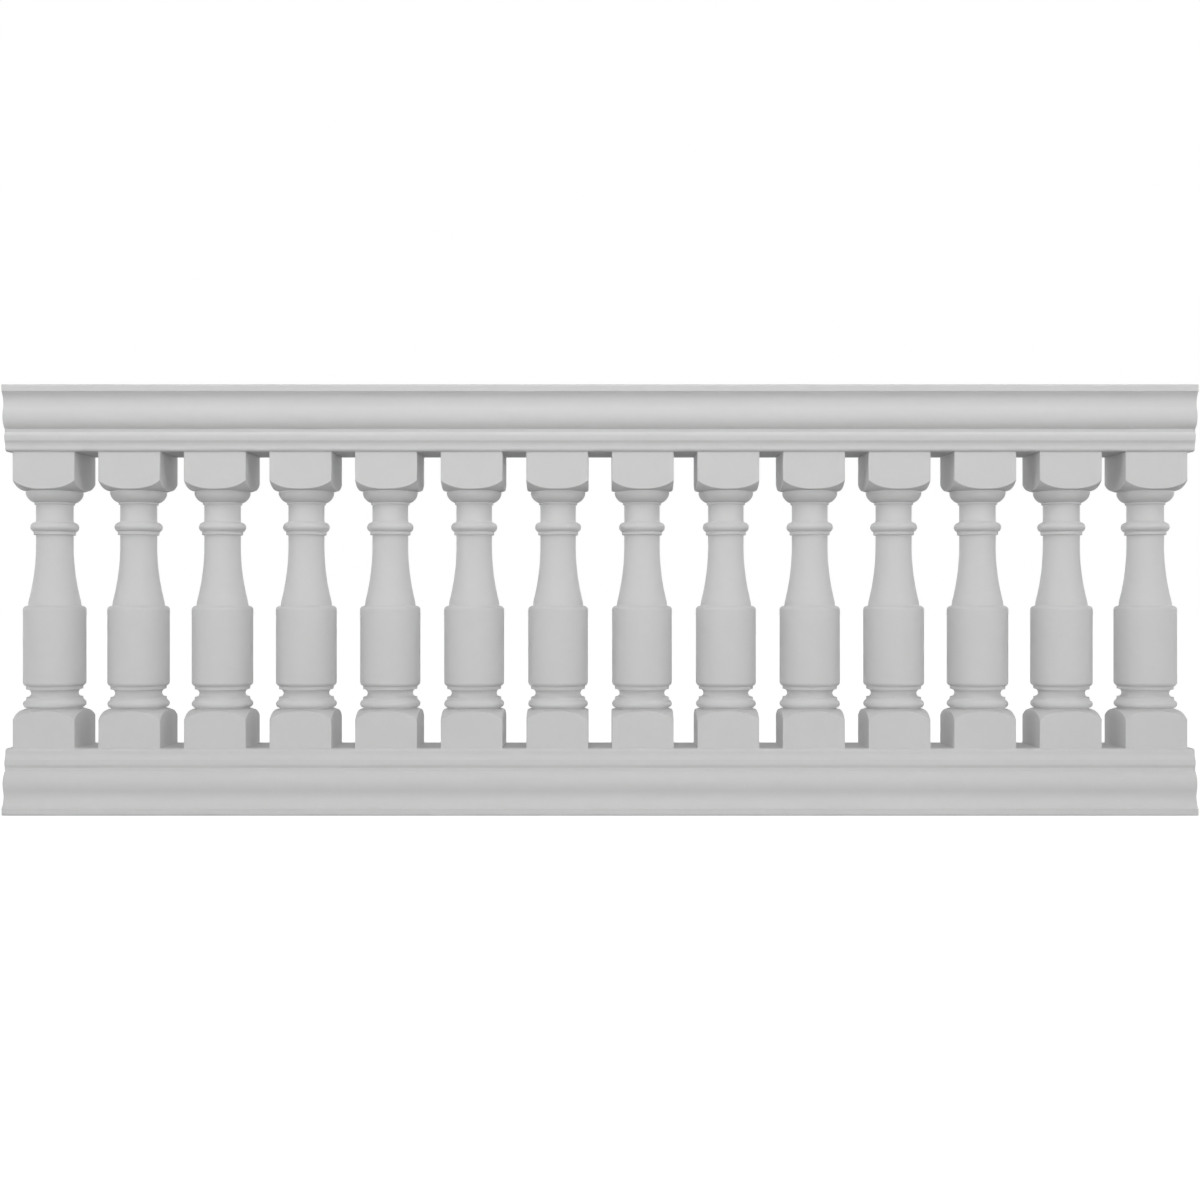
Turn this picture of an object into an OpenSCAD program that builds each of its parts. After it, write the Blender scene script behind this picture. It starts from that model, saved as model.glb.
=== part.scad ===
// Straight section of a fiberglass balustrade. Turned balusters with square
// blocks stand between two moulded rails of one section, the lower rail
// upright and the upper rail turned over. Each rail is a hollow channel that
// a closing plate shuts, and a threaded rod through the foam core of each
// baluster ties the two plates together.
//
// X runs along the rails, Y across them and Z up. The origin is the centre
// of the lower rail's underside. All lengths are in millimetres.

/* [Section] */
// Length of both rails
rail_length = 2438.4; // [2000:0.1:3000]
// Number of balusters along the rails
baluster_count = 14; // [6:1:14]
// Height of a baluster, from rail to rail
baluster_h = 609.6; // [500:0.1:760]
// Rail end to the face of the end baluster's block
end_margin = 12.7; // [5:0.1:60]

/* [Rail section] */
// Width of a rail across its wide face
rail_w = 177.8; // [168:0.1:220]
// Height of a rail, from its wide face to the face on the balusters
rail_h = 134.9; // [130:0.1:170]
// Thickness of the moulded rail wall
rail_wall = 6.35; // [4:0.05:8]
// Height of the flat band along the wide face
band_h = 16; // [14:0.1:17]
// Setback below that band
band_step = 3.5; // [1:0.1:5]
// Wide face to the deepest line of the hollow
hollow_v = 38; // [36:0.1:42]
// Setback of the hollow at its deepest
hollow_in = 10.15; // [8:0.05:12]
// Wide face to the line where the hollow turns into the swell
turn_v = 49.3; // [46:0.1:54]
// Wide face to the crest of the swell
swell_v = 64.8; // [60:0.1:68]
// Setback of the swell at its crest
swell_in = 5.55; // [3:0.05:7]
// Wide face to the foot of the swell
swell_end_v = 88.4; // [84:0.1:92]
// Setback of the swell at its foot
swell_end_in = 15.6; // [12:0.1:16.5]
// Setback of the fillet between the swell and the bead
fillet_step_in = 17.3; // [16.5:0.1:19]
// Wide face to the start of the bead
bead_start_v = 96.5; // [94:0.1:99]
// Wide face to the crest of the bead
bead_v = 103.9; // [101:0.1:107]
// Setback of the bead at its crest
bead_in = 14.6; // [12:0.05:15.4]
// Wide face to the arris between the bead and the cove
bead_end_v = 113.2; // [110:0.1:116]
// Setback of that arris
bead_end_in = 15.6; // [15.5:0.1:18]
// Wide face to the end of the cove
cove_end_v = 126.4; // [120:0.1:128]
// Setback of the lip beside the balusters
lip_in = 19.65; // [19:0.05:22]
// Rounding of the lip's outer edge
lip_r = 6; // [1:0.1:6.3]

/* [Closing plates] */
// Thickness of the plate that closes each rail
plate_t = 9.5; // [6:0.1:12]
// Gap beside a closing plate, filled by the bond
plate_gap = 0.4; // [0:0.1:1]
// Thickness of the rail's inner ledge under the plate
ledge_t = 6.35; // [4:0.05:10]
// Width of that ledge
ledge_w = 10; // [6:0.5:16]

/* [Baluster blocks] */
// Width of the square blocks
block_w = 127; // [118:0.1:132]
// Height of a block where it meets the turned part
block_h = 78.7; // [66:0.1:90]
// Setback of the flat crown of a block's turned shoulder from the faces
shoulder_in = 16.6; // [10:0.1:20]
// Radius of the shoulder from the crown towards the corners
shoulder_round = 55; // [50:0.5:60]

/* [Baluster turning] */
// Radius of the slender shaft and neck
neck_r = 37.1; // [30:0.1:44]
// Radius of the cylindrical belly
belly_r = 62.7; // [58:0.1:64]
// Height of the belly
belly_h = 167.4; // [120:0.1:200]
// Rounding at the belly's foot
belly_foot_r = 8.6; // [6.2:0.1:12]
// Rounding at the belly's top
belly_top_r = 8; // [3:0.1:10]
// Setback from the belly to the shaft that rises from it
flare_in = 10.3; // [10:0.1:16]
// Height of the upright fillet at the foot of that shaft
flare_foot_h = 7; // [2:0.1:12]
// Height of the slender shaft's straight stretch
shaft_straight_h = 22; // [10:0.1:40]
// Height of the notch between a block and the turned part
block_notch_h = 1.7; // [1:0.1:5]
// Setback of that notch from the belly
block_notch_in = 7.1; // [6:0.1:10]
// Rounding of the lower torus
torus_r = 7.8; // [5:0.1:10]
// Height of the flat fillets on either side of the base groove
fillet_h = 6.3; // [3:0.1:9]
// Setback of those fillets from the belly
fillet_in = 6.1; // [4:0.1:8]
// Radius of the half-round base groove
groove_r = 8.2; // [5:0.1:9]
// Setback of the centre of that groove from the belly
groove_in = 7.4; // [7:0.1:10]
// Height of the flat ring under the astragal
ring_h = 6.2; // [3:0.1:9]
// Projection of that ring beyond the neck
ring_out = 4.7; // [2:0.1:8]
// Rounding of the astragal
astragal_r = 10.1; // [6:0.1:12]
// Projection of the astragal beyond the neck
astragal_out = 11.1; // [9:0.1:16]
// Height of the neck above the astragal
neck_h = 36.8; // [20:0.1:50]
// Height of the collar under the capital
collar_h = 4.4; // [2:0.1:8]
// Projection of that collar beyond the neck
collar_out = 3; // [2:0.1:3.4]
// Height of the capital from the bowl's foot to the block
bowl_h = 22.7; // [15:0.1:23.4]
// Radius that rounds the bowl
bowl_round = 23.7; // [23.6:0.1:30]
// Setback of the bowl's widest line from the belly
bowl_in = 5.3; // [3:0.1:6]

/* [Ties and anchors] */
// Diameter of the threaded tie rod
rod_d = 12.7; // [8:0.1:16]
// Gap around a rod in the holes that it passes
rod_gap = 0.8; // [0.3:0.1:1.5]
// Rod end beyond the face of its nut
rod_end = 8; // [2:0.5:16]
// Width of the square bearing plates
bearing_w = 63.5; // [40:0.5:80]
// Thickness of the bearing plates
bearing_t = 6.35; // [3:0.05:10]
// Width of the hexagon nuts across their flats
nut_w = 19; // [19:0.5:30]
// Height of the nuts
nut_h = 11; // [8:0.5:16]
// Gap between a rod and the bore of its nut
thread_gap = 0.1; // [0.05:0.05:0.3]
// Diameter of the anchor holes in the lower rail's floor
anchor_hole_d = 14; // [8:0.5:20]
// Distance between anchor holes along the rail
anchor_pitch = 400; // [300:5:480]

/* [Hidden] */
$fn = 96;
skim = 0.5; // how far a cutting shape runs past a face
blend_lap = 0.02; // overlap that makes two tangent curves cross
blend_reach = 3; // how far such curves run on into each other
anchor_pairs = 3;

rail_half = rail_w / 2;
lip_half = rail_half - lip_in;
recess_half = lip_half - rail_wall;
ledge_v = rail_h - plate_t - ledge_t;
total_h = 2 * rail_h + baluster_h;
pitch = (rail_length - 2 * end_margin - block_w) / (baluster_count - 1);

// Slope at which the hollow turns into the swell, and the radii of both
turn_slope = sin(2 * atan((hollow_in - swell_in) / (swell_v - hollow_v)));
hollow_r = (turn_v - hollow_v) / turn_slope + blend_lap;
swell_r = (swell_v - turn_v) / turn_slope + blend_lap;
// Radii of the arcs that end upright at the swell's crest, the bead's crest and the lip
swell_low_r = arc_r(swell_end_v - swell_v, swell_end_in - swell_in);
bead_low_r = arc_r(bead_v - bead_start_v, fillet_step_in - bead_in);
bead_high_r = arc_r(bead_end_v - bead_v, bead_end_in - bead_in);
cove_r = arc_r(cove_end_v - bead_end_v, lip_in - bead_end_in);

// Radii of the baluster's mouldings
crown_r = block_w / 2 - shoulder_in;
block_notch_r = belly_r - block_notch_in;
fillet_r = belly_r - fillet_in;
groove_axis_r = belly_r - groove_in;
flare_r = belly_r - flare_in;
ring_r = neck_r + ring_out;
astragal_out_r = neck_r + astragal_out;
collar_r = neck_r + collar_out;
bowl_r = belly_r - bowl_in;

// Heights of the baluster's mouldings above its foot
torus_z = block_h + block_notch_h + torus_r;
groove_z = torus_z + torus_r + fillet_h + groove_r;
belly_z = groove_z + groove_r + fillet_h;
flare_z = belly_z + belly_h;
flare_foot_z = flare_z + flare_foot_h;
upper_crown_z = baluster_h - block_h;
collar_z = upper_crown_z - bowl_h - collar_h;
astragal_z = collar_z - neck_h - astragal_r;
ring_z = astragal_z - astragal_r - ring_h;
flare_h = ring_z - shaft_straight_h - flare_foot_z;
flare_round = arc_r(flare_h, flare_r - neck_r) + blend_lap;

rod_hole_d = rod_d + 2 * rod_gap;
nut_face = plate_t + bearing_t + nut_h;
rod_length = baluster_h + 2 * (nut_face + rod_end);

// Radius of an arc that ends upright and steps aside by d over a height h
function arc_r(h, d) = (h * h + d * d) / (2 * d);
function two_digits(n) = str(n < 10 ? "0" : "", n);
function baluster_x(i) = (i - (baluster_count - 1) / 2) * pitch;
function numbered(name) = [for (i = [1 : baluster_count]) str(name, "_", two_digits(i))];

// ---- placing ------------------------------------------------------------

// A section drawn in X and Y becomes a bar along the rails, with Y as height
module along_rails(length) {
    rotate([90, 0, 90])
        translate([0, 0, -length / 2])
            linear_extrude(length)
                children();
}

// The upper rail and its fittings are the lower ones turned over
module turned_over() {
    translate([0, 0, total_h])
        mirror([0, 0, 1])
            children();
}

module at_baluster(i) {
    translate([baluster_x(i), 0, 0])
        children();
}

// ---- outlines ------------------------------------------------------------

// Stretch of an outline that lies between the axis and a straight edge
module edge_band(edge, from_v, to_v) {
    translate([0, from_v])
        square([edge, to_v - from_v]);
}

// Stretch of an outline whose edge is an arc about [axis_u, centre_v]
module edge_round(axis_u, centre_v, r, from_v, to_v) {
    edge_band(axis_u, from_v, to_v);
    intersection() {
        translate([axis_u, centre_v])
            circle(r);
        edge_band(axis_u + r, from_v, to_v);
    }
}

// ---- rails --------------------------------------------------------------

// Right half of the hollow and the swell, their surface moved in by inset
module cyma_half_section(inset) {
    turn_in_v = hollow_v + (hollow_r + inset) * turn_slope;
    difference() {
        union() {
            edge_band(rail_half - inset - band_step, inset, turn_in_v);
            edge_round(rail_half - swell_in - swell_r, swell_v, swell_r - inset,
                turn_in_v - blend_reach, swell_v);
        }
        translate([rail_half - hollow_in + hollow_r, hollow_v])
            circle(hollow_r + inset);
    }
    edge_round(rail_half - swell_in - swell_low_r, swell_v, swell_low_r - inset,
        swell_v, swell_end_v);
}

// Right half of the bead, and of the cove that leads from it to the lip
module bead_half_section() {
    edge_round(rail_half - bead_in - bead_low_r, bead_v, bead_low_r,
        bead_start_v - blend_reach, bead_v);
    difference() {
        union() {
            edge_round(rail_half - bead_in - bead_high_r, bead_v, bead_high_r,
                bead_v, bead_end_v + blend_reach);
            edge_band(rail_half - bead_in, bead_end_v + blend_reach / 2, cove_end_v);
        }
        translate([lip_half + cove_r, cove_end_v])
            circle(cove_r);
    }
}

module rail_half_section() {
    edge_band(rail_half, 0, band_h);
    cyma_half_section(0);
    edge_band(rail_half - fillet_step_in, swell_v, bead_v);
    bead_half_section();
    edge_band(lip_half, cove_end_v, rail_h - lip_r);
    edge_round(lip_half - lip_r, rail_h - lip_r, lip_r, rail_h - lip_r, rail_h);
}

// Right half of the space inside the rail, plain behind the band, the bead and the cove
module space_half_section() {
    cyma_half_section(rail_wall);
    edge_band(recess_half, swell_v, ledge_v);
}

module both_halves() {
    children();
    mirror([1, 0])
        children();
}

module centred_strip(half_width, from_v, to_v) {
    translate([-half_width, from_v])
        square([2 * half_width, to_v - from_v]);
}

module rail_shell_section() {
    difference() {
        both_halves()
            rail_half_section();
        both_halves()
            space_half_section();
        centred_strip(recess_half - ledge_w, ledge_v - skim, rail_h);
        centred_strip(recess_half, rail_h - plate_t, rail_h + skim);
    }
}

module rail_shell() {
    along_rails(rail_length)
        rail_shell_section();
}

module anchor_holes() {
    for (n = [0 : 2 * anchor_pairs - 1])
        translate([(n - anchor_pairs + 0.5) * anchor_pitch, 0, -skim])
            cylinder(d = anchor_hole_d, h = rail_wall + 2 * skim);
}

module bottom_rail() {
    color("gainsboro")
        difference() {
            rail_shell();
            anchor_holes();
        }
}

module top_rail() {
    color("gainsboro")
        turned_over()
            rail_shell();
}

module closing_plate() {
    plate_half = recess_half - plate_gap;
    difference() {
        translate([-rail_length / 2, -plate_half, rail_h - plate_t])
            cube([rail_length, 2 * plate_half, plate_t]);
        for (i = [0 : baluster_count - 1])
            at_baluster(i)
                translate([0, 0, rail_h - plate_t - skim])
                    cylinder(d = rod_hole_d, h = plate_t + 2 * skim);
    }
}

module bottom_rail_deck() {
    color("lightgray")
        closing_plate();
}

module top_rail_soffit() {
    color("lightgray")
        turned_over()
            closing_plate();
}

// ---- balusters ----------------------------------------------------------

// Half-round moulding that bulges to out_r
module turned_torus(out_r, round_r, z) {
    edge_round(out_r - round_r, z, round_r, z - round_r, z + round_r);
}

// Turned lid that gives a block its sloping shoulder, block foot at zero
module shoulder_outline() {
    edge_band(crown_r + shoulder_round, 0, block_h - shoulder_round);
    edge_round(crown_r, block_h - shoulder_round, shoulder_round,
        block_h - shoulder_round, block_h);
}

module block() {
    intersection() {
        translate([-block_w / 2, -block_w / 2, 0])
            cube([block_w, block_w, block_h]);
        rotate_extrude()
            shoulder_outline();
    }
}

module base_outline() {
    edge_band(block_notch_r, block_h - blend_reach, torus_z);
    turned_torus(belly_r, torus_r, torus_z);
    edge_band(fillet_r, torus_z, groove_z - groove_r);
    difference() {
        edge_band(groove_axis_r, groove_z - groove_r - skim, groove_z + groove_r + skim);
        translate([groove_axis_r, groove_z])
            circle(groove_r);
    }
    edge_band(fillet_r, groove_z + groove_r, belly_z + belly_foot_r);
}

module belly_outline() {
    turned_torus(belly_r, belly_foot_r, belly_z + belly_foot_r);
    turned_torus(belly_r, belly_top_r, flare_z - belly_top_r);
    edge_band(belly_r, belly_z + belly_foot_r, flare_z - belly_top_r);
}

// Shaft that swells on one long arc to the fillet on the belly
module flare_outline() {
    difference() {
        edge_band(flare_r, flare_z - skim, flare_foot_z + flare_h);
        translate([neck_r + flare_round - blend_lap, flare_foot_z + flare_h])
            circle(flare_round);
    }
}

module capital_outline() {
    bowl_foot_z = upper_crown_z - bowl_h;
    edge_band(collar_r, collar_z, bowl_foot_z + skim);
    edge_round(bowl_r - bowl_round, upper_crown_z, bowl_round,
        bowl_foot_z, upper_crown_z - block_notch_h);
    edge_band(block_notch_r, bowl_foot_z + skim, upper_crown_z + blend_reach);
}

module turned_outline() {
    base_outline();
    belly_outline();
    flare_outline();
    edge_band(neck_r, flare_z, upper_crown_z);
    edge_band(ring_r, ring_z, astragal_z);
    turned_torus(astragal_out_r, astragal_r, astragal_z);
    capital_outline();
}

module baluster() {
    color("whitesmoke")
        translate([0, 0, rail_h])
            difference() {
                union() {
                    block();
                    translate([0, 0, baluster_h])
                        mirror([0, 0, 1])
                            block();
                    rotate_extrude()
                        turned_outline();
                }
                translate([0, 0, -skim])
                    cylinder(d = rod_hole_d, h = baluster_h + 2 * skim);
            }
}

// ---- ties ---------------------------------------------------------------

module tie_rod() {
    color("silver")
        translate([0, 0, (total_h - rod_length) / 2])
            cylinder(d = rod_d, h = rod_length);
}

// Square plates that spread each nut's load on the closing plate
module bearing_plates() {
    for (i = [0 : baluster_count - 1])
        at_baluster(i)
            translate([0, 0, rail_h - plate_t - bearing_t])
                difference() {
                    translate([-bearing_w / 2, -bearing_w / 2, 0])
                        cube([bearing_w, bearing_w, bearing_t]);
                    translate([0, 0, -skim])
                        cylinder(d = rod_hole_d, h = bearing_t + 2 * skim);
                }
}

module nuts() {
    for (i = [0 : baluster_count - 1])
        at_baluster(i)
            translate([0, 0, rail_h - nut_face])
                difference() {
                    cylinder(d = nut_w / cos(30), h = nut_h, $fn = 6);
                    translate([0, 0, -skim])
                        cylinder(d = rod_d + 2 * thread_gap, h = nut_h + 2 * skim);
                }
}

module bottom_bearing_plates() {
    color("silver")
        bearing_plates();
}

module top_bearing_plates() {
    color("silver")
        turned_over()
            bearing_plates();
}

module bottom_nuts() {
    color("silver")
        nuts();
}

module top_nuts() {
    color("silver")
        turned_over()
            nuts();
}

bottom_rail();
bottom_rail_deck();
top_rail();
top_rail_soffit();
for (i = [0 : baluster_count - 1]) {
    at_baluster(i) baluster();
    at_baluster(i) tie_rod();
}
bottom_bearing_plates();
top_bearing_plates();
bottom_nuts();
top_nuts();
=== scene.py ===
"""Blender scene of the fiberglass balustrade section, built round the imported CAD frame.

The rails, balusters and nuts are finer meshes of the CAD shapes, with rounded arrises. The
closing plates and bearing plates are the CAD nodes themselves. Outlines are in millimetres,
and a mesh is scaled to metres when it is made.
"""
import math

import bmesh
import bpy
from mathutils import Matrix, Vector


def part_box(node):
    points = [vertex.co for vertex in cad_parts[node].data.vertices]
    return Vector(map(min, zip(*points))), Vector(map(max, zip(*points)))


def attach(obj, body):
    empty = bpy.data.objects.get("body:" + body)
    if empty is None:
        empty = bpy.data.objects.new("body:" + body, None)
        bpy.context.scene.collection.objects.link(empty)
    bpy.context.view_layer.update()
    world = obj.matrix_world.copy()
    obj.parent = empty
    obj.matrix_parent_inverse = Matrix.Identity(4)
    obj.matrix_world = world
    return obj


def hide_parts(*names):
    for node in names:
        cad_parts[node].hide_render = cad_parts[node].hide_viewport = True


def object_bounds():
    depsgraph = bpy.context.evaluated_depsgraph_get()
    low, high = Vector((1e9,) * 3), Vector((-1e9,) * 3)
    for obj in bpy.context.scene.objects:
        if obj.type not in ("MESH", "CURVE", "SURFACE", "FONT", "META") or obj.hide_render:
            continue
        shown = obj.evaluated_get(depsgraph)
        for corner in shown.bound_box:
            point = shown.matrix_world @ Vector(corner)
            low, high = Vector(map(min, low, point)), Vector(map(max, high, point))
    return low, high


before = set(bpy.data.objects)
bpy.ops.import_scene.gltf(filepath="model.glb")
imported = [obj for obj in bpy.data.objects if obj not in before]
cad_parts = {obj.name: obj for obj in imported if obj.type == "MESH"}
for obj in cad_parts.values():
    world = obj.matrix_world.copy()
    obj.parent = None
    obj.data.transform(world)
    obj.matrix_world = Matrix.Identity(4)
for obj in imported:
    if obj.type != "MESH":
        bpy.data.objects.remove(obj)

cad_low, cad_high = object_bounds()

MM = 0.001


def span(node, axis):
    """Length of a CAD node along one axis, in millimetres."""
    low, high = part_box(node)
    return (high[axis] - low[axis]) / MM


def numbered(stem):
    """The CAD nodes of one kind, in order."""
    return sorted(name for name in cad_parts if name.startswith(stem))


# ---- sizes, in millimetres --------------------------------------------------

RAIL_LENGTH = span("bottom_rail", 0)
RAIL_HALF = span("bottom_rail", 1) / 2
RAIL_H = span("bottom_rail", 2)
BALUSTER_H = span("baluster_01", 2)
BLOCK_HALF = span("baluster_01", 0) / 2
TOTAL_H = 2 * RAIL_H + BALUSTER_H

# Rail section: heights from the wide face, and setbacks from the widest line
RAIL_WALL = 6.35
BAND_H = 16
BAND_STEP = 3.5
HOLLOW_V = 38
HOLLOW_IN = 10.15
TURN_V = 49.3
SWELL_V = 64.8
SWELL_IN = 5.55
SWELL_END_V = 88.4
SWELL_END_IN = 15.6
FILLET_STEP_IN = 17.3
BEAD_START_V = 96.5
BEAD_V = 103.9
BEAD_IN = 14.6
BEAD_END_V = 113.2
BEAD_END_IN = 15.6
COVE_END_V = 126.4
LIP_IN = 19.65
LIP_R = 6
PLATE_T = span("bottom_rail_deck", 2)
PLATE_HALF = span("bottom_rail_deck", 1) / 2
LEDGE_T = 6.35
LEDGE_W = 10
LIP_HALF = RAIL_HALF - LIP_IN
RECESS_HALF = LIP_HALF - RAIL_WALL
LEDGE_V = RAIL_H - PLATE_T - LEDGE_T

# Baluster blocks
BLOCK_H = 78.7
CROWN_R = BLOCK_HALF - 16.6
SHOULDER_ROUND = 55

# Baluster turning: radii, heights of its members, and (as _Z) their heights above its foot
BELLY_R = 62.7
BELLY_H = 167.4
BELLY_FOOT_R = 8.6
BELLY_TOP_R = 8
NOTCH_R = BELLY_R - 7.1
NOTCH_H = 1.7
TORUS_R = 7.8
FILLET_R = BELLY_R - 6.1
GROOVE_R = 8.2
GROOVE_AXIS_R = BELLY_R - 7.4
FLARE_R = BELLY_R - 10.3
FLARE_FOOT_H = 7
SHAFT_STRAIGHT_H = 22
NECK_R = 37.1
RING_R = NECK_R + 4.7
RING_H = 6.2
ASTRAGAL_R = 10.1
ASTRAGAL_OUT_R = NECK_R + 11.1
COLLAR_R = NECK_R + 3
NECK_H = 36.8
COLLAR_H = 4.4
BOWL_ROUND = 23.7
BOWL_R = BELLY_R - 5.3
BOWL_H = 22.7
FILLET_H = 6.3
TORUS_Z = BLOCK_H + NOTCH_H + TORUS_R
GROOVE_Z = TORUS_Z + TORUS_R + FILLET_H + GROOVE_R
BELLY_Z = GROOVE_Z + GROOVE_R + FILLET_H
FLARE_Z = BELLY_Z + BELLY_H
UPPER_CROWN_Z = BALUSTER_H - BLOCK_H
BOWL_Z = UPPER_CROWN_Z - BOWL_H
COLLAR_Z = BOWL_Z - COLLAR_H
ASTRAGAL_Z = COLLAR_Z - NECK_H - ASTRAGAL_R
RING_Z = ASTRAGAL_Z - ASTRAGAL_R - RING_H
SHAFT_Z = RING_Z - SHAFT_STRAIGHT_H

# Rounding of the blocks' arrises and of the rails' sawn ends
BLOCK_CORNER_R = 1.1
BLOCK_ARRIS = 0.7
BLOCK_FOOT_ARRIS = 0.1
CUT_ARRIS = 0.3

# How far the rounding of a corner reaches along its outline, outside the rails
FACE_EASE = 4
BAND_EASE = 2.6
STEP_EASE = 0.8
SWELL_END_EASE = 0.9
RAIL_FILLET_EASE = 0.7
BEAD_START_EASE = 1.2
BEAD_END_EASE = 0.6

# The same inside the rails
RECESS_EASE = 0.6
LEDGE_EASE = 1.2
LEDGE_ROOT_EASE = 3
WALL_BEND_EASE = 5
FLOOR_EASE = 6

# The same on the balusters
CREASE_EASE = 0.5
TORUS_EASE = 3.2
FILLET_EASE = 0.7
FLARE_FOOT_EASE = 3
FLARE_BEND_EASE = 4
RING_ROOT_EASE = 0.6
RING_EASE = 1.1
ASTRAGAL_EASE = 3.6
COLLAR_EASE = 1
BOWL_FOOT_EASE = 0.3
BOWL_EASE = 0.4

# Ring on which the turned part meets a block's shoulder
SEAT_R = NOTCH_R + 1.2

# Segments round a baluster, the same in each quarter so that its rings join up
QUARTER = 24
FLAT_STEPS = 10

# Rings between a block's rim and the turned part
SHOULDER_RINGS = 10

# Ties
ROD_R = span("tie_rod_01", 0) / 2
THREAD_PITCH = 1.95
THREAD_DEPTH = 1.1
THREAD_RUNOUT = 1
THREAD_TURN_STEPS = 5
ROD_END_EASE = 0.8
NUT_HALF = 9.5
NUT_BORE_R = ROD_R + 0.1
NUT_BORE_EASE = 0.6
NUT_CHAMFER_R = NUT_HALF * 0.98
NUT_CHAMFER_SLOPE = math.tan(math.radians(28))

# Bonding paste beside a closing plate: its foot above the ledge, and its drop below the face
SEAM_FOOT = 1
SEAM_EDGE_DROP = 0.15
SEAM_MIDDLE_DROP = 0.3

# Anchor bolt holes in the bottom rail's floor
ANCHOR_R = 7
ANCHOR_PLACES = (-1000, -600, -200, 200, 600, 1000)
ANCHOR_OVERRUN = 1
ANCHOR_SIDES = 32


# ---- outlines ------------------------------------------------------------------

def angle_at(radius, axis, round_r):
    """Angle, in degrees, on an arc about an axis at which it reaches a radius."""
    return math.degrees(math.acos((radius - axis) / round_r))


def arc(axis, height, radius, start, end, steps):
    """Points on an arc about (axis, height) between two angles in degrees, without its ends."""
    turn = (end - start) / steps
    angles = [math.radians(start + turn * i) for i in range(1, steps)]
    return [(axis + radius * math.cos(a), height + radius * math.sin(a)) for a in angles]


def on_arc(axis, height, radius, angle):
    """The point on an arc about (axis, height) at an angle in degrees."""
    a = math.radians(angle)
    return (axis + radius * math.cos(a), height + radius * math.sin(a))


# Share of the way between two corners that their roundings may take up together
APART = 0.96


def soften(path, steps=3):
    """Round the marked corners of an open outline.

    A corner is a point with a third number: how far the rounding reaches along the outline.
    Where two corners are close, their roundings are shortened so that they don't meet.
    """
    at = [0.0]
    for a, b in zip(path, path[1:]):
        at.append(at[-1] + math.dist(a[:2], b[:2]))

    def along(s):
        k = max(i for i in range(len(path) - 1) if at[i] <= s)
        t = (s - at[k]) / (at[k + 1] - at[k])
        return [a + (b - a) * t for a, b in zip(path[k][:2], path[k + 1][:2])]

    marked = [(s, p[2]) for s, p in zip(at, path) if len(p) == 3]
    corners = []
    for i, (s, reach) in enumerate(marked):
        beside = [m for m in marked[max(i - 1, 0):i + 2] if m[0] != s]
        shares = [abs(s - t) * APART * reach / (reach + other) for t, other in beside]
        corners.append((s, min([reach] + shares)))
    reach_at = dict(corners)
    out = []
    for s, p in zip(at, path):
        if len(p) == 3:
            first, last = along(s - reach_at[s]), along(s + reach_at[s])
            for i in range(steps + 1):
                t = i / steps
                out.append(tuple(
                    (1 - t) ** 2 * a + 2 * t * (1 - t) * m + t * t * b
                    for a, m, b in zip(first, p[:2], last)
                ))
        elif all(abs(s - corner) > reach for corner, reach in corners):
            out.append(tuple(p))
    return out


def inset_loop(loop, depth):
    """A closed outline moved into the solid that it surrounds."""
    out = []
    for i, here in enumerate(loop):
        normals = []
        for a, b in ((loop[i - 1], here), (here, loop[(i + 1) % len(loop)])):
            length = math.dist(a, b)
            normals.append(((a[1] - b[1]) / length, (b[0] - a[0]) / length))
        (ax, ay), (bx, by) = normals
        scale = depth / max(1 + ax * bx + ay * by, 0.5)
        out.append((here[0] + (ax + bx) * scale, here[1] + (ay + by) * scale))
    return out


# ---- meshes -------------------------------------------------------------------

def skin_faces(count, rings, wrap=False):
    """Quads between rings of equal length, with caps at both ends unless the rings wrap."""
    faces = []
    for k in range(rings if wrap else rings - 1):
        low, high = k * count, (k + 1) % rings * count
        for i in range(count):
            j = (i + 1) % count
            faces.append((low + i, low + j, high + j, high + i))
    if not wrap:
        faces.append(tuple(reversed(range(count))))
        faces.append(tuple((rings - 1) * count + i for i in range(count)))
    return faces


def cut_away(piece, tool):
    """Cut one shape from another, and delete the tool."""
    cut = piece.modifiers.new("bores", "BOOLEAN")
    cut.object = tool
    cut.solver = "EXACT"
    graph = bpy.context.evaluated_depsgraph_get()
    piece.data = bpy.data.meshes.new_from_object(piece.evaluated_get(graph))
    piece.modifiers.remove(cut)
    bpy.data.objects.remove(tool)


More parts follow.
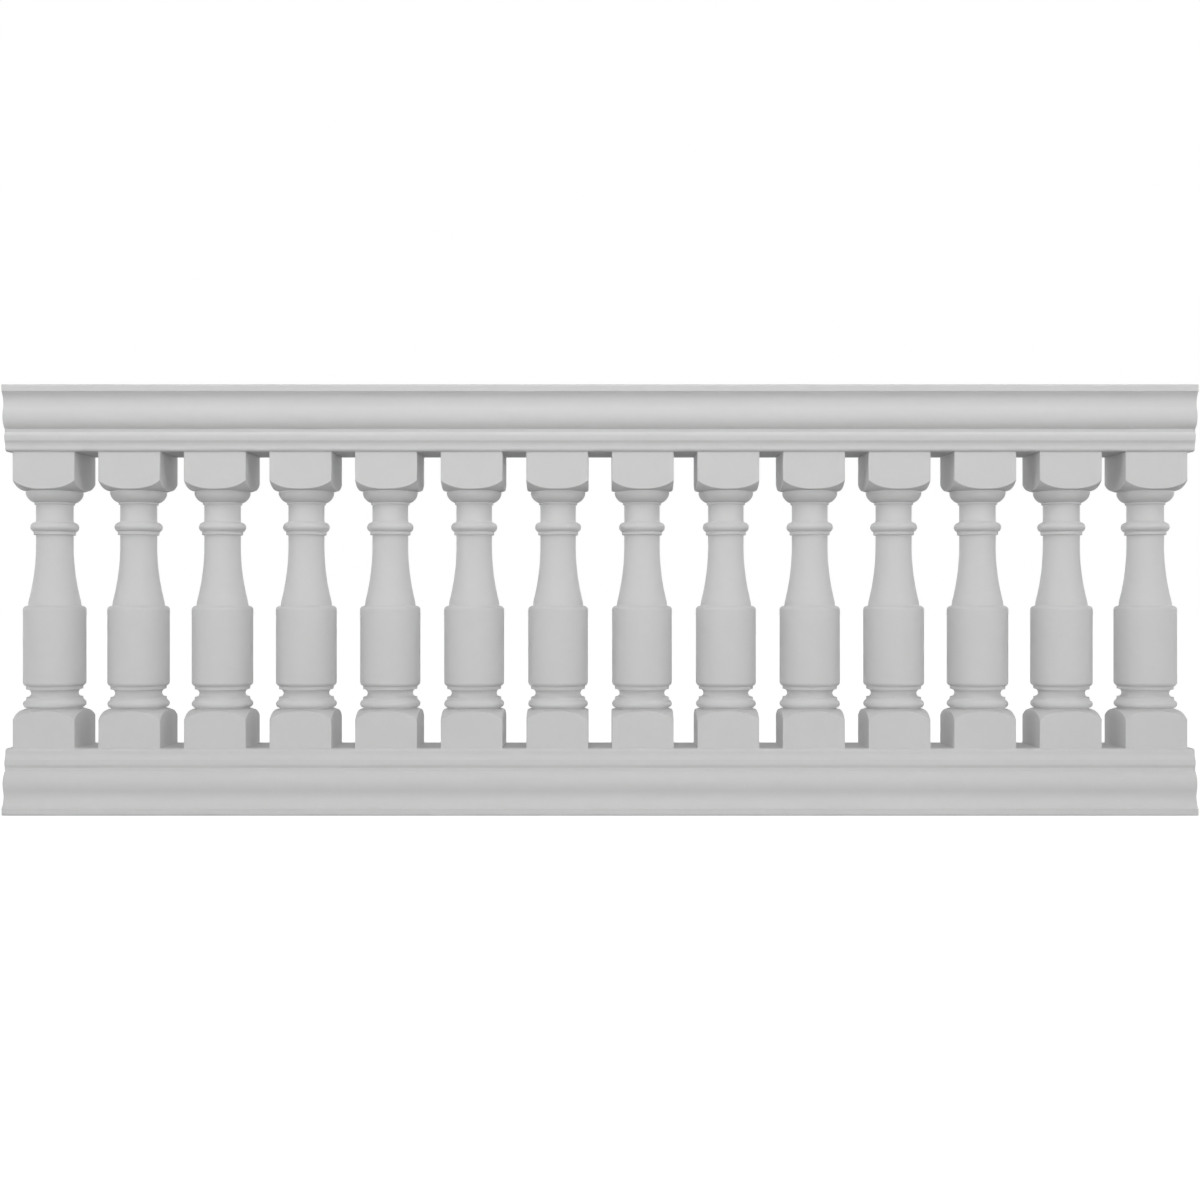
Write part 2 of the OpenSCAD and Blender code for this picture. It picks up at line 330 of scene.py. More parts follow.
class Solid:
    """Vertices and faces in millimetres, gathered from one or more closed skins."""

    def __init__(self):
        self.points = []
        self.faces = []
        self.finishes = []

    def skin(self, rings, wrap=False, second=()):
        """Add a skin. Its caps, and its faces at these places round it, take the second finish."""
        base = len(self.points)
        count = len(rings[0])
        for k, face in enumerate(skin_faces(count, len(rings), wrap)):
            cap = k >= count * (len(rings) - 1)
            self.faces.append(tuple(base + i for i in face))
            self.finishes.append(int(bool(second) and (cap or k % count in second)))
        for ring in rings:
            self.points.extend(ring)

    def shape(self, name):
        """A linked object with this mesh, in metres, its normals outwards."""
        mesh = bpy.data.meshes.new(name)
        mesh.from_pydata([[c * MM for c in p] for p in self.points], [], self.faces)
        mesh.polygons.foreach_set("material_index", self.finishes)
        work = bmesh.new()
        work.from_mesh(mesh)
        bmesh.ops.recalc_face_normals(work, faces=work.faces)
        work.to_mesh(mesh)
        work.free()
        shape = bpy.data.objects.new(name, mesh)
        bpy.context.scene.collection.objects.link(shape)
        return shape

    def piece(self, name, stands_for, slot, *materials, sharp=40, bores=None):
        """The finished Blender piece, riding on the part and standing for its CAD nodes.

        bores is a second solid that is cut away from it.
        """
        piece = self.shape(name)
        for material in materials:
            piece.data.materials.append(material)
        if bores:
            cut_away(piece, bores.shape(name + "_bores"))
        mesh = piece.data
        work = bmesh.new()
        work.from_mesh(mesh)
        for edge in work.edges:
            if edge.calc_face_angle(0) > math.radians(sharp):
                edge.smooth = False
        for face in work.faces:
            face.smooth = True
        work.to_mesh(mesh)
        work.free()
        normals = piece.modifiers.new("flat faces stay flat", "WEIGHTED_NORMAL")
        normals.keep_sharp = True
        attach(piece, "root")
        if stands_for:
            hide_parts(*stands_for)
        return piece


# ---- rails ---------------------------------------------------------------------

def arc_r(height, step):
    """Radius of an arc that ends upright and steps aside over a height."""
    return (height ** 2 + step ** 2) / (2 * step)


def rise(height, radius):
    """Angle, in degrees, over which an arc from its crest covers a height."""
    return math.degrees(math.asin(height / radius))


def cyma(inset, start_u, steps):
    """The hollow and the swell, moved in by inset, from where the hollow leaves start_u."""
    turn = 2 * math.degrees(math.atan((HOLLOW_IN - SWELL_IN) / (SWELL_V - HOLLOW_V)))
    hollow_r = (TURN_V - HOLLOW_V) / math.sin(math.radians(turn))
    swell_r = (SWELL_V - TURN_V) / math.sin(math.radians(turn))
    hollow_axis = RAIL_HALF - HOLLOW_IN + hollow_r
    swell_axis = RAIL_HALF - SWELL_IN - swell_r
    start = 180 + angle_at(hollow_axis, start_u, hollow_r + inset)
    return [
        (*on_arc(hollow_axis, HOLLOW_V, hollow_r + inset, start), STEP_EASE),
        *arc(hollow_axis, HOLLOW_V, hollow_r + inset, start, 180 - turn, 2 * steps),
        on_arc(hollow_axis, HOLLOW_V, hollow_r + inset, 180 - turn),
        *arc(swell_axis, SWELL_V, swell_r - inset, -turn, 0, steps),
        (RAIL_HALF - SWELL_IN - inset, SWELL_V),
    ]


def rail_outside():
    """Right side of the rail's section from the wide face to the recess for the plate."""
    step_u = RAIL_HALF - BAND_STEP
    fillet_u = RAIL_HALF - FILLET_STEP_IN
    swell_low_r = arc_r(SWELL_END_V - SWELL_V, SWELL_END_IN - SWELL_IN)
    bead_low_r = arc_r(BEAD_V - BEAD_START_V, FILLET_STEP_IN - BEAD_IN)
    bead_high_r = arc_r(BEAD_END_V - BEAD_V, BEAD_END_IN - BEAD_IN)
    cove_r = arc_r(COVE_END_V - BEAD_END_V, LIP_IN - BEAD_END_IN)
    foot = rise(SWELL_END_V - SWELL_V, swell_low_r)
    bead_start = rise(BEAD_V - BEAD_START_V, bead_low_r)
    bead_end = rise(BEAD_END_V - BEAD_V, bead_high_r)
    cove_start = rise(COVE_END_V - BEAD_END_V, cove_r)
    bead_u = RAIL_HALF - BEAD_IN
    return [
        (RAIL_HALF, 0, FACE_EASE),
        (RAIL_HALF, BAND_H, BAND_EASE),
        (step_u, BAND_H, STEP_EASE),
        *cyma(0, step_u, 8),
        *arc(RAIL_HALF - SWELL_IN - swell_low_r, SWELL_V, swell_low_r, 0, foot, 10),
        (RAIL_HALF - SWELL_END_IN, SWELL_END_V, SWELL_END_EASE),
        (fillet_u, SWELL_END_V, RAIL_FILLET_EASE),
        (fillet_u, BEAD_START_V, BEAD_START_EASE),
        *arc(bead_u - bead_low_r, BEAD_V, bead_low_r, -bead_start, 0, 7),
        (bead_u, BEAD_V),
        *arc(bead_u - bead_high_r, BEAD_V, bead_high_r, 0, bead_end, 5),
        (RAIL_HALF - BEAD_END_IN, BEAD_END_V, BEAD_END_EASE),
        *arc(LIP_HALF + cove_r, COVE_END_V, cove_r, 180 + cove_start, 180, 8),
        (LIP_HALF, COVE_END_V),
        (LIP_HALF, RAIL_H - LIP_R),
        *arc(LIP_HALF - LIP_R, RAIL_H - LIP_R, LIP_R, 0, 90, 8),
        (LIP_HALF - LIP_R, RAIL_H),
        (RECESS_HALF, RAIL_H),
    ]


def rail_inside():
    """Right side of the rail's inside, from the recess for the plate down to the floor."""
    low_r = arc_r(SWELL_END_V - SWELL_V, SWELL_END_IN - SWELL_IN) - RAIL_WALL
    low_axis = RAIL_HALF - SWELL_IN - RAIL_WALL - low_r
    low_end = angle_at(RECESS_HALF, low_axis, low_r)
    wall_u = RAIL_HALF - BAND_STEP - RAIL_WALL
    return [
        (RECESS_HALF, RAIL_H - PLATE_T, RECESS_EASE),
        (RECESS_HALF - LEDGE_W, RAIL_H - PLATE_T, LEDGE_EASE),
        (RECESS_HALF - LEDGE_W, LEDGE_V, LEDGE_EASE),
        (RECESS_HALF, LEDGE_V, LEDGE_ROOT_EASE),
        (*on_arc(low_axis, SWELL_V, low_r, low_end), WALL_BEND_EASE),
        *reversed(arc(low_axis, SWELL_V, low_r, 0, low_end, 8)),
        *reversed(cyma(RAIL_WALL, wall_u, 7)),
        (wall_u, RAIL_WALL, FLOOR_EASE),
    ]


def rail_loop():
    """Closed section of the hollow rail, open towards the balusters, as (across, height)."""
    right = soften([(0, 0), *rail_outside(), *rail_inside(), (0, RAIL_WALL)])
    return right + [(-u, v) for u, v in reversed(right[1:-1])]


def unseen_side(loop):
    """Places round the rail's section that lie inside the rail, behind the gelcoat."""
    last_seen = loop.index((RECESS_HALF, RAIL_H))
    return range(last_seen, len(loop) - last_seen)


def bar(loop, height_of, joints=12):
    """Rings that carry a section along the rails, with the sawn arrises at both ends eased."""
    half = RAIL_LENGTH / 2
    plain = RAIL_LENGTH - 2 * CUT_ARRIS
    stations = [-half + CUT_ARRIS + plain * i / joints for i in range(joints + 1)]
    eased = inset_loop(loop, CUT_ARRIS)
    sections = [(-half, eased), *((x, loop) for x in stations), (half, eased)]
    return [[(x, u, height_of(v)) for u, v in section] for x, section in sections]


def upright(v):
    """Height above the ground of a place in the bottom rail's section."""
    return v


def turned_over(v):
    """Height above the ground of a place in the top rail's section."""
    return TOTAL_H - v


def add_rail(rail, height_of, outer, inner, bores=None):
    """Moulded rail in place of its CAD node, bare laminate on its inside and sawn ends."""
    section = rail_loop()
    moulding = Solid()
    moulding.skin(bar(section, height_of), second=unseen_side(section))
    moulding.piece(rail + "_moulding", [rail], "rail_gelcoat", outer, inner, bores=bores)


def anchor_bores():
    """Holes for anchor bolts, to be cut through the bottom rail's floor."""
    bores = Solid()
    ends = (-ANCHOR_OVERRUN, RAIL_WALL + ANCHOR_OVERRUN)
    for x in ANCHOR_PLACES:
        bores.skin([circle(ANCHOR_R, z, ANCHOR_SIDES, x) for z in ends])
    return bores


def add_seams(rail, height_of, paste):
    """Bonding paste in the gaps on both sides of a closing plate."""
    foot = RAIL_H - PLATE_T + SEAM_FOOT
    profile = (
        (PLATE_HALF, foot),
        (RECESS_HALF, foot),
        (RECESS_HALF, RAIL_H - SEAM_EDGE_DROP),
        ((RECESS_HALF + PLATE_HALF) / 2, RAIL_H - SEAM_MIDDLE_DROP),
        (PLATE_HALF, RAIL_H - SEAM_EDGE_DROP),
    )
    end = RAIL_LENGTH / 2 - CUT_ARRIS
    seams = Solid()
    for side in (-1, 1):
        seams.skin([[(x, side * u, height_of(v)) for u, v in profile] for x in (-end, end)])
    seams.piece(rail + "_bond_seams", [], "plate_gelcoat", paste)


# ---- balusters -----------------------------------------------------------------

def shoulder_z(r):
    """Height of a block's turned shoulder at a distance from the baluster's axis."""
    out = max(r - CROWN_R, 0)
    return BLOCK_H - SHOULDER_ROUND + math.sqrt(SHOULDER_ROUND ** 2 - out ** 2)


def square_ring(inset):
    """Outline of a block with rounded corners, moved in by inset, as points round its axis."""
    straight = BLOCK_HALF - BLOCK_CORNER_R
    corner_steps = QUARTER - 2 * FLAT_STEPS
    quarter = [(BLOCK_HALF - inset, straight * i / FLAT_STEPS) for i in range(FLAT_STEPS + 1)]
    quarter += arc(straight, straight, BLOCK_CORNER_R - inset, 0, 90, corner_steps)
    quarter += [(straight * i / FLAT_STEPS, BLOCK_HALF - inset) for i in range(FLAT_STEPS, 0, -1)]
    ring = []
    for turn in range(4):
        c, s = round(math.cos(turn * math.pi / 2)), round(math.sin(turn * math.pi / 2))
        ring += [(x * c - y * s, x * s + y * c) for x, y in quarter]
    return ring


def block_rings():
    """Rings of the lower block from its foot up to the turned part, as (x, y, height)."""
    rings = [
        [(x, y, 0) for x, y in square_ring(BLOCK_FOOT_ARRIS)],
        [(x, y, BLOCK_FOOT_ARRIS) for x, y in square_ring(0)],
    ]
    rim = square_ring(BLOCK_ARRIS)
    rim_z = [shoulder_z(math.hypot(x, y)) for x, y in rim]
    for angle in (90, 60, 30):
        a = math.radians(angle)
        drop = BLOCK_ARRIS * (1 - math.cos(a))
        ring = square_ring(BLOCK_ARRIS * (1 - math.sin(a)))
        rings.append([(x, y, z - drop) for (x, y), z in zip(ring, rim_z)])
    count = len(rim)
    for i in range(SHOULDER_RINGS, 0, -1):
        share = i / (SHOULDER_RINGS + 0.5)
        ring = []
        for j, (x, y) in enumerate(rim):
            even = 2 * math.pi * j / count
            swing = (math.atan2(y, x) - even + math.pi) % (2 * math.pi) - math.pi
            r = SEAT_R + (math.hypot(x, y) - SEAT_R) * share
            a = even + swing * share
            ring.append((r * math.cos(a), r * math.sin(a), shoulder_z(r)))
        rings.append(ring)
    return rings


def turned_side():
    """Outline of the turned part as (radius, height), from the lower block to the upper one."""
    torus_axis = BELLY_R - TORUS_R
    torus_low = -angle_at(NOTCH_R, torus_axis, TORUS_R)
    torus_high = angle_at(FILLET_R, torus_axis, TORUS_R)
    foot_axis = BELLY_R - BELLY_FOOT_R
    foot_low = -angle_at(FILLET_R, foot_axis, BELLY_FOOT_R)
    foot_z = BELLY_Z + BELLY_FOOT_R
    top_axis = BELLY_R - BELLY_TOP_R
    flare_h = SHAFT_Z - FLARE_Z - FLARE_FOOT_H
    flare_round = arc_r(flare_h, FLARE_R - NECK_R)
    flare_turn = rise(flare_h, flare_round)
    astragal_axis = ASTRAGAL_OUT_R - ASTRAGAL_R
    astragal_low = -angle_at(RING_R, astragal_axis, ASTRAGAL_R)
    bowl_axis = BOWL_R - BOWL_ROUND
    bowl_low = -rise(UPPER_CROWN_Z - BOWL_Z, BOWL_ROUND)
    bowl_high = -rise(NOTCH_H, BOWL_ROUND)
    return soften([
        (SEAT_R, shoulder_z(SEAT_R)),
        (NOTCH_R, shoulder_z(NOTCH_R), CREASE_EASE),
        (*on_arc(torus_axis, TORUS_Z, TORUS_R, torus_low), CREASE_EASE),
        *arc(torus_axis, TORUS_Z, TORUS_R, torus_low, torus_high, 14),
        (*on_arc(torus_axis, TORUS_Z, TORUS_R, torus_high), TORUS_EASE),
        (FILLET_R, GROOVE_Z - GROOVE_R, FILLET_EASE),
        (GROOVE_AXIS_R, GROOVE_Z - GROOVE_R),
        *arc(GROOVE_AXIS_R, GROOVE_Z, GROOVE_R, 270, 90, 14),
        (GROOVE_AXIS_R, GROOVE_Z + GROOVE_R),
        (FILLET_R, GROOVE_Z + GROOVE_R, FILLET_EASE),
        (*on_arc(foot_axis, foot_z, BELLY_FOOT_R, foot_low), CREASE_EASE),
        *arc(foot_axis, foot_z, BELLY_FOOT_R, foot_low, 0, 8),
        (BELLY_R, foot_z),
        (BELLY_R, FLARE_Z - BELLY_TOP_R),
        *arc(top_axis, FLARE_Z - BELLY_TOP_R, BELLY_TOP_R, 0, 90, 8),
        (top_axis, FLARE_Z),
        (FLARE_R, FLARE_Z, FLARE_FOOT_EASE),
        (FLARE_R, FLARE_Z + FLARE_FOOT_H, FLARE_BEND_EASE),
        *arc(NECK_R + flare_round, SHAFT_Z, flare_round, 180 + flare_turn, 180, 16),
        (NECK_R, SHAFT_Z),
        (NECK_R, RING_Z, RING_ROOT_EASE),
        (RING_R, RING_Z, RING_EASE),
        (*on_arc(astragal_axis, ASTRAGAL_Z, ASTRAGAL_R, astragal_low), CREASE_EASE),
        *arc(astragal_axis, ASTRAGAL_Z, ASTRAGAL_R, astragal_low, 90, 16),
        (astragal_axis, ASTRAGAL_Z + ASTRAGAL_R),
        (NECK_R, ASTRAGAL_Z + ASTRAGAL_R, ASTRAGAL_EASE),
        (NECK_R, COLLAR_Z, RING_ROOT_EASE),
        (COLLAR_R, COLLAR_Z, COLLAR_EASE),
        (COLLAR_R, BOWL_Z, BOWL_FOOT_EASE),
        (*on_arc(bowl_axis, UPPER_CROWN_Z, BOWL_ROUND, bowl_low), BOWL_EASE),
        *arc(bowl_axis, UPPER_CROWN_Z, BOWL_ROUND, bowl_low, bowl_high, 10),
        (*on_arc(bowl_axis, UPPER_CROWN_Z, BOWL_ROUND, bowl_high), CREASE_EASE),
        (NOTCH_R, UPPER_CROWN_Z - NOTCH_H, CREASE_EASE),
        (NOTCH_R, BALUSTER_H - shoulder_z(NOTCH_R), CREASE_EASE),
        (SEAT_R, BALUSTER_H - shoulder_z(SEAT_R)),
    ], 2)


def baluster_rings():
    """All rings of one baluster from foot to top, about its own axis."""
    block = block_rings()
    count = 4 * QUARTER
    turned = []
    for r, z in turned_side():
        angles = [2 * math.pi * i / count for i in range(count)]
        turned.append([(r * math.cos(a), r * math.sin(a), z) for a in angles])
    upper = [[(x, y, BALUSTER_H - z) for x, y, z in ring] for ring in reversed(block)]
    return block + turned + upper


def add_balusters(material):
    """One turned piece for each CAD baluster, in its place."""
    rings = baluster_rings()
    for node in numbered("baluster_"):
        low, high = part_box(node)
        x0, z0 = (low.x + high.x) / 2 / MM, low.z / MM
        solid = Solid()
        solid.skin([[(x + x0, y, z + z0) for x, y, z in ring] for ring in rings])
        solid.piece("turned_" + node, [node], "baluster_gelcoat", material)


# ---- ties ----------------------------------------------------------------------

def circle(r, z, count, x0=0):
    """A level ring about the axis at x0."""
    angles = [2 * math.pi * i / count for i in range(count)]
    return [(x0 + r * math.cos(a), r * math.sin(a), z) for a in angles]


def rod_rings(x0, low, high, thread_h, count=24):
    """Threaded rod on a vertical axis, its thread cut at both ends and the rest plain."""
    rings = [circle(ROD_R - THREAD_DEPTH, low, count, x0)]
    steps = THREAD_TURN_STEPS * round(thread_h / THREAD_PITCH)

    def thread(z):
        ring = []
        for i, (x, y, _) in enumerate(circle(1, z, count)):
            turn = abs((z / THREAD_PITCH - i / count) % 1 - 0.5) * 2
            r = ROD_R - THREAD_DEPTH * turn
            ring.append((x0 + x * r, y * r, z))
        return ring

    cut_h = thread_h - ROD_END_EASE
    rings += [thread(low + ROD_END_EASE + cut_h * i / steps) for i in range(steps + 1)]
    rings.append(circle(ROD_R, low + thread_h + THREAD_RUNOUT, count, x0))
    rings.append(circle(ROD_R, high - thread_h - THREAD_RUNOUT, count, x0))
    rings += [thread(high - thread_h + cut_h * i / steps) for i in range(steps + 1)]
    rings.append(circle(ROD_R - THREAD_DEPTH, high, count, x0))
    return rings


def nut_rings(x0, low, high, count=48):
    """Hexagon nut with its corners turned off, as rings that wrap round its bore."""

    def hexagon(face, outward):
        ring = []
        for i in range(count):
            a = 2 * math.pi * i / count
            r = NUT_HALF / math.cos((a + math.pi / 6) % (math.pi / 3) - math.pi / 6)
            z = face - outward * (r - NUT_CHAMFER_R) * NUT_CHAMFER_SLOPE
            ring.append((x0 + r * math.cos(a), r * math.sin(a), z))
        return ring

    return [
        circle(NUT_BORE_R, low + NUT_BORE_EASE, count, x0),
        circle(NUT_BORE_R + NUT_BORE_EASE, low, count, x0),
        circle(NUT_CHAMFER_R, low, count, x0),
        hexagon(low, -1),
        hexagon(high, 1),
        circle(NUT_CHAMFER_R, high, count, x0),
        circle(NUT_BORE_R + NUT_BORE_EASE, high, count, x0),
        circle(NUT_BORE_R, high - NUT_BORE_EASE, count, x0),
    ]


def add_ties(steel):
    """Threaded rods and nuts in place of the CAD ones, and a finish for the bearing plates."""
    nut_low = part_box("bottom_nuts")[0]
    centres = []
    for node in numbered("tie_rod_"):
        low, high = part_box(node)
        centres.append((low.x + high.x) / 2 / MM)
        solid = Solid()
        thread_h = (nut_low.z - low.z) / MM + THREAD_RUNOUT
        solid.skin(rod_rings(centres[-1], low.z / MM, high.z / MM, thread_h))
        solid.piece("threaded_" + node, [node], "zinc_steel", steel)
    for node in ("bottom_nuts", "top_nuts"):
        low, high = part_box(node)
        solid = Solid()
        for x0 in centres:
            solid.skin(nut_rings(x0, low.z / MM, high.z / MM), wrap=True)
        solid.piece("chamfered_" + node, [node], "zinc_steel", steel, sharp=25)
    for node in ("bottom_bearing_plates", "top_bearing_plates"):
        paint_node(node, steel)


# ---- materials ------------------------------------------------------------------

class Nodes:
    """A short way to write a material's node tree.

    Noise scales are repeats per metre, and relief is in metres. Greys are linear.
    """

    def __init__(self, name):
        self.material = bpy.data.materials.new(name)
        self.material.use_nodes = True
        self.tree = self.material.node_tree
        self.shader = self.tree.nodes["Principled BSDF"]
        self.place = self.add("ShaderNodeTexCoord").outputs["Object"]

    def add(self, kind, **inputs):
        node = self.tree.nodes.new(kind)
        for name, value in inputs.items():
            self.set(node, name.replace("_", " "), value)
        return node

    def set(self, node, name, value):
        if isinstance(value, bpy.types.NodeSocket):
            self.tree.links.new(value, node.inputs[name])
        else:
            node.inputs[name].default_value = value

    def noise(self, scale, detail=3, roughness=0.5):
        node = self.add("ShaderNodeTexNoise", Scale=scale, Detail=detail, Roughness=roughness)
        self.tree.links.new(self.place, node.inputs["Vector"])
        return node.outputs["Fac"]

    def colour_noise(self, scale):
        node = self.add("ShaderNodeTexNoise", Scale=scale)
        self.tree.links.new(self.place, node.inputs["Vector"])
        return node.outputs["Color"]

    def spread(self, value, low, high, start=0.3, end=0.7):
        """A 0 to 1 value stretched between start and end, and sent to the range low to high."""
        node = self.add("ShaderNodeMapRange")
        self.tree.links.new(value, node.inputs["Value"])
        node.inputs["From Min"].default_value = start
        node.inputs["From Max"].default_value = end
        node.inputs["To Min"].default_value = low
        node.inputs["To Max"].default_value = high
        return node.outputs["Result"]

    def mix(self, share, first, second):
        node = self.add("ShaderNodeMix")
        node.data_type = "RGBA"
        self.set(node, 0, share)
        self.set(node, 6, first)
        self.set(node, 7, second)
        return node.outputs[2]

    def bump(self, height, distance, normal=None):
        """Relief of a 0 to 1 height, its full depth the distance in metres, on top of another."""
        node = self.add("ShaderNodeBump", Height=height, Distance=distance, Strength=1.0)
        if normal:
            self.tree.links.new(normal, node.inputs["Normal"])
        return node.outputs["Normal"]

    def finish(self, **inputs):
        for name, value in inputs.items():
            self.set(self.shader, name.replace("_", " "), value)
        return self.material


def grey(value, warmth=0.0):
    """A linear grey, a little warmer or cooler than neutral."""
    return (value * (1 + warmth), value, value * (1 - warmth), 1)


MOULDED_GREY = 0.62
PLATE_GREY = 0.61


def gelcoat(name, value):
    """Satin gelcoat on moulded fiberglass: faint mottle, soft waviness and fine orange peel."""
    n = Nodes(name)
    cloud = n.spread(n.noise(2.3, 2), 0, 1)
    mottle = n.spread(n.noise(38, 4, 0.6), 0, 1)
    speckle = n.spread(n.noise(420, 2), 0, 1, 0.35, 0.65)
    tone = n.mix(cloud, grey(value * 0.985), grey(value * 1.01))
    tone = n.mix(n.spread(mottle, 0, 0.5, 0, 1), tone, grey(value * 0.975))
    tone = n.mix(n.spread(speckle, 0, 0.22, 0.4, 1), tone, grey(value * 1.03))
    rough = n.spread(mottle, 0.69, 0.79, 0, 1)
    wavy = n.bump(n.noise(9, 2), 0.0011)
    peel = n.bump(n.noise(620, 2), 0.00005, wavy)
    return n.finish(Base_Color=tone, Roughness=rough, Normal=peel, IOR=1.46)


def raw_laminate(name):
    """Bare back of the laminate: chopped glass strands in resin, left as they were rolled out."""
    n = Nodes(name)
    warp = n.mix(0.012, n.place, n.colour_noise(35))
    strands = n.add("ShaderNodeTexVoronoi", Scale=170)
    strands.feature = "DISTANCE_TO_EDGE"
    n.tree.links.new(warp, strands.inputs["Vector"])
    mat = n.spread(strands.outputs["Distance"], 1, 0, 0.0, 0.12)
    resin = n.spread(n.noise(14, 4), 0, 1)
    tone = n.mix(resin, grey(0.44, 0.03), grey(0.53, 0.04))
    tone = n.mix(mat, tone, grey(0.62, 0.02))
    rough = n.spread(resin, 0.35, 0.6, 0, 1)
    bumps = n.bump(n.noise(110, 4), 0.0008, n.bump(mat, 0.0003))
    return n.finish(Base_Color=tone, Roughness=rough, Normal=bumps)


def zinc_steel(name):
    """Zinc plate on steel: fine grain and dull spangle."""
    n = Nodes(name)
    spangle = n.spread(n.noise(160, 3), 0, 1)
    tone = n.mix(spangle, grey(0.50, -0.01), grey(0.62, -0.02))
    rough = n.spread(n.noise(900, 2), 0.30, 0.48)
    grain = n.bump(n.noise(1500, 2), 0.00004)
    return n.finish(Base_Color=tone, Roughness=rough, Normal=grain, Metallic=1.0)


def bond_paste(name):
    """Bonding paste in the seam beside a closing plate, a shade darker than the gelcoat."""
    n = Nodes(name)
    tone = n.mix(n.spread(n.noise(300, 3), 0, 1), grey(0.42), grey(0.50))
    return n.finish(Base_Color=tone, Roughness=0.7, Normal=n.bump(n.noise(900), 0.0001))


def paint_node(node, material):
    """Give a carried-over CAD node its finish."""
    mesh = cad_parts[node].data
    mesh.materials.clear()
    mesh.materials.append(material)


# ---- stage -----------------------------------------------------------------------

# Camera: metres from the middle of the section, a lens in millimetres, and metres that it sees
CAMERA_AWAY = 3.072
FOCAL_MM = 43.95
SENSOR_MM = 36
CLIP_END = 200


def add_camera():
    """Camera straight in front of the middle of the section, level."""
    centre = (cad_low + cad_high) / 2
    camera = bpy.data.objects.new("camera", bpy.data.cameras.new("camera"))
    camera.data.lens = FOCAL_MM
    camera.data.sensor_width = SENSOR_MM
    camera.data.clip_end = CLIP_END
    camera.location = (centre.x, centre.y - CAMERA_AWAY, centre.z)
    camera.rotation_euler = (math.pi / 2, 0, 0)
    bpy.context.scene.collection.objects.link(camera)
    bpy.context.scene.camera = camera


# Key lamp: place, aim and size in metres
KEY_PLACE = Vector((0, -2.0, 3.2))
KEY_AIM = Vector((0, 0, 0.45))
KEY_SIZE = (5.0, 0.8)
KEY_WATTS = 48


def add_key():
    """Long soft lamp above the camera, along the whole section."""
    data = bpy.data.lights.new("key", "AREA")
    data.shape = "RECTANGLE"
    data.size, data.size_y = KEY_SIZE
    data.energy = KEY_WATTS
    key = bpy.data.objects.new("key", data)
    key.location = KEY_PLACE
    key.rotation_euler = (KEY_AIM - KEY_PLACE).to_track_quat("-Z", "Y").to_euler()
    bpy.context.scene.collection.objects.link(key)


def seen_white(tree):
    """1 for the rays that show the white background: camera, glossy and transmission rays."""
    path = tree.nodes.new("ShaderNodeLightPath")
    total = path.outputs["Is Camera Ray"]
    for name in ("Is Glossy Ray", "Is Transmission Ray"):
        either = tree.nodes.new("ShaderNodeMath")
        either.operation = "MAXIMUM"
        tree.links.new(total, either.inputs[0])
        tree.links.new(path.outputs[name], either.inputs[1])
        total = either.outputs[0]
    return total


# World strength at the horizon and overhead, and the height at which the band has faded
HORIZON = 5.55
OVERHEAD = 0.23
BAND_TOP = 0.25


def add_world():
    """Soft studio light from a low band all round, and a little from overhead."""
    world = bpy.data.worlds.new("studio")
    world.use_nodes = True
    tree = world.node_tree
    place = tree.nodes.new("ShaderNodeTexCoord")
    axes = tree.nodes.new("ShaderNodeSeparateXYZ")
    tree.links.new(place.outputs["Generated"], axes.inputs[0])
    height = tree.nodes.new("ShaderNodeMapRange")
    tree.links.new(axes.outputs["Z"], height.inputs["Value"])
    height.inputs["From Max"].default_value = BAND_TOP
    height.inputs["To Min"].default_value = HORIZON
    height.inputs["To Max"].default_value = OVERHEAD
    soft = tree.nodes["Background"]
    soft.inputs["Color"].default_value = (1, 1, 1, 1)
    tree.links.new(height.outputs["Result"], soft.inputs["Strength"])
    white = tree.nodes.new("ShaderNodeBackground")
    white.inputs["Color"].default_value = (1, 1, 1, 1)
    white.inputs["Strength"].default_value = 1
    mix = tree.nodes.new("ShaderNodeMixShader")
    tree.links.new(seen_white(tree), mix.inputs[0])
    tree.links.new(soft.outputs[0], mix.inputs[1])
    tree.links.new(white.outputs[0], mix.inputs[2])
    tree.links.new(mix.outputs[0], tree.nodes["World Output"].inputs["Surface"])
    bpy.context.scene.world = world


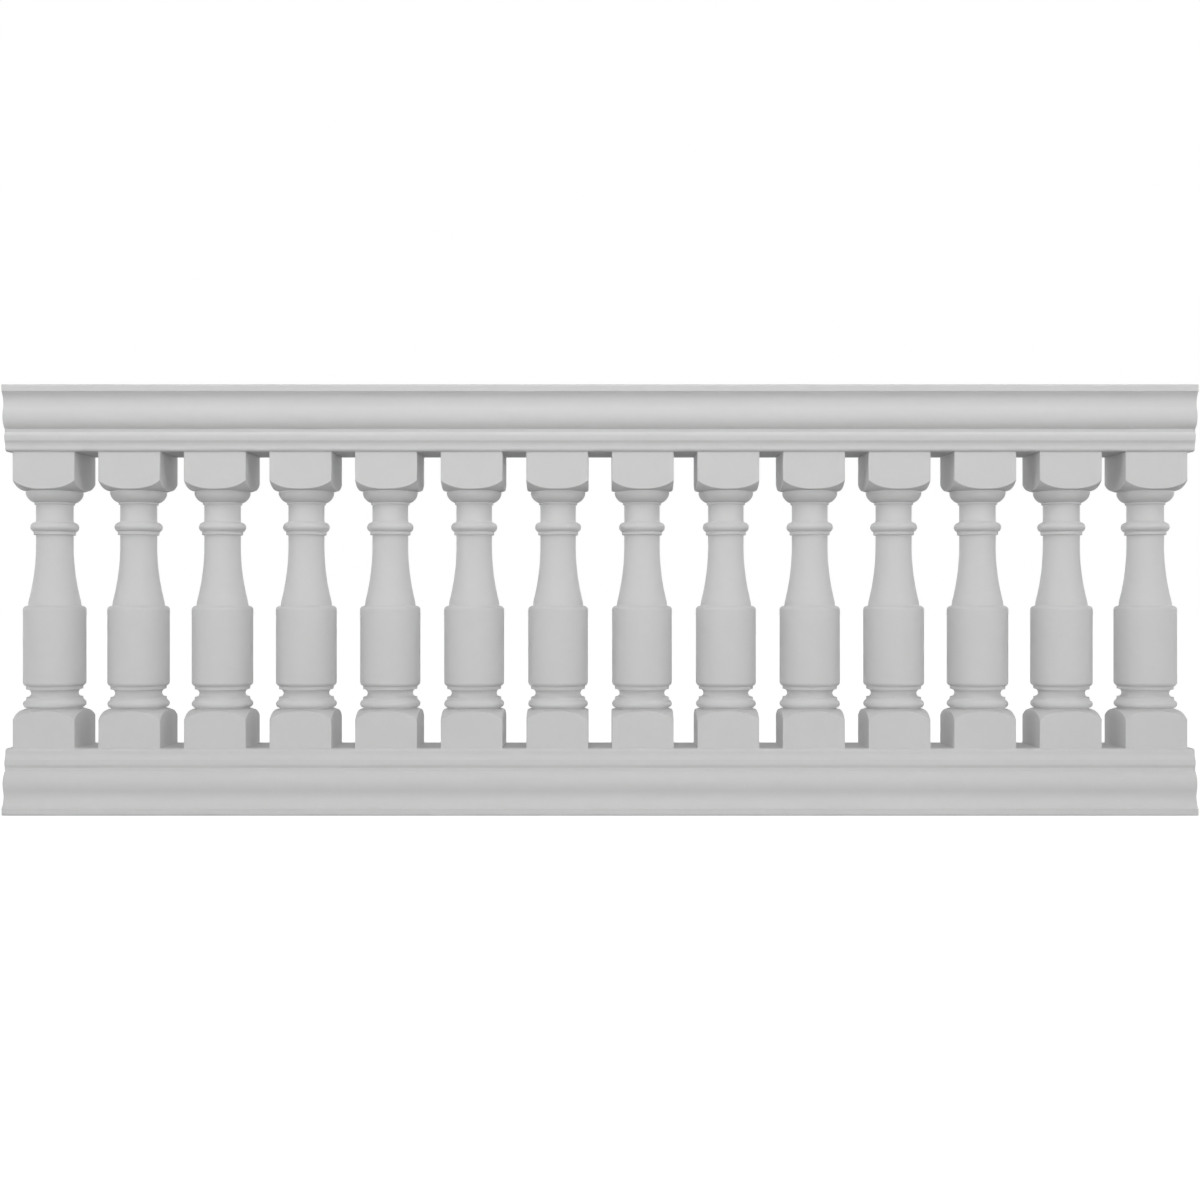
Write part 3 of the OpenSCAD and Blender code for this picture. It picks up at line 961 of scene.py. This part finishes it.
# Floor: half its side and its drop below the rail in metres, its grey, and its glow for the camera
FLOOR_HALF = 40
FLOOR_GAP = 0.0002
FLOOR_GREY = 0.5
FLOOR_LIFT = 0.85


def add_floor():
    """Pale floor that takes the object's shadow and is lifted until the camera sees it white.

    The lift is strong enough to hide the shadow as well.
    """
    mesh = bpy.data.meshes.new("floor")
    z = cad_low.z - FLOOR_GAP
    corners = ((-1, -1), (1, -1), (1, 1), (-1, 1))
    mesh.from_pydata([(x * FLOOR_HALF, y * FLOOR_HALF, z) for x, y in corners], [], [(0, 1, 2, 3)])
    floor = bpy.data.objects.new("floor", mesh)
    bpy.context.scene.collection.objects.link(floor)
    material = bpy.data.materials.new("pale_floor")
    material.use_nodes = True
    tree = material.node_tree
    shader = tree.nodes["Principled BSDF"]
    shader.inputs["Base Color"].default_value = grey(FLOOR_GREY)
    shader.inputs["Roughness"].default_value = 0.9
    shader.inputs["Specular IOR Level"].default_value = 0
    shader.inputs["Emission Color"].default_value = (1, 1, 1, 1)
    lift = tree.nodes.new("ShaderNodeMath")
    lift.operation = "MULTIPLY"
    lift.inputs[1].default_value = FLOOR_LIFT
    tree.links.new(seen_white(tree), lift.inputs[0])
    tree.links.new(lift.outputs[0], shader.inputs["Emission Strength"])
    mesh.materials.append(material)


# ---- scene -----------------------------------------------------------------------

add_camera()

rail_finish = gelcoat("rail_gelcoat", MOULDED_GREY)
baluster_finish = gelcoat("baluster_gelcoat", MOULDED_GREY)
plate_finish = gelcoat("plate_gelcoat", PLATE_GREY)
steel_finish = zinc_steel("zinc_steel")
paste_finish = bond_paste("bond_paste")
laminate_finish = raw_laminate("raw_laminate")

add_rail("bottom_rail", upright, rail_finish, laminate_finish, anchor_bores())
add_seams("bottom_rail", upright, paste_finish)
add_rail("top_rail", turned_over, rail_finish, laminate_finish)
add_seams("top_rail", turned_over, paste_finish)

for plate in ("bottom_rail_deck", "top_rail_soffit"):
    paint_node(plate, plate_finish)

add_balusters(baluster_finish)
add_ties(steel_finish)

add_world()
add_floor()
add_key()

bpy.context.scene.view_settings.view_transform = "Standard"
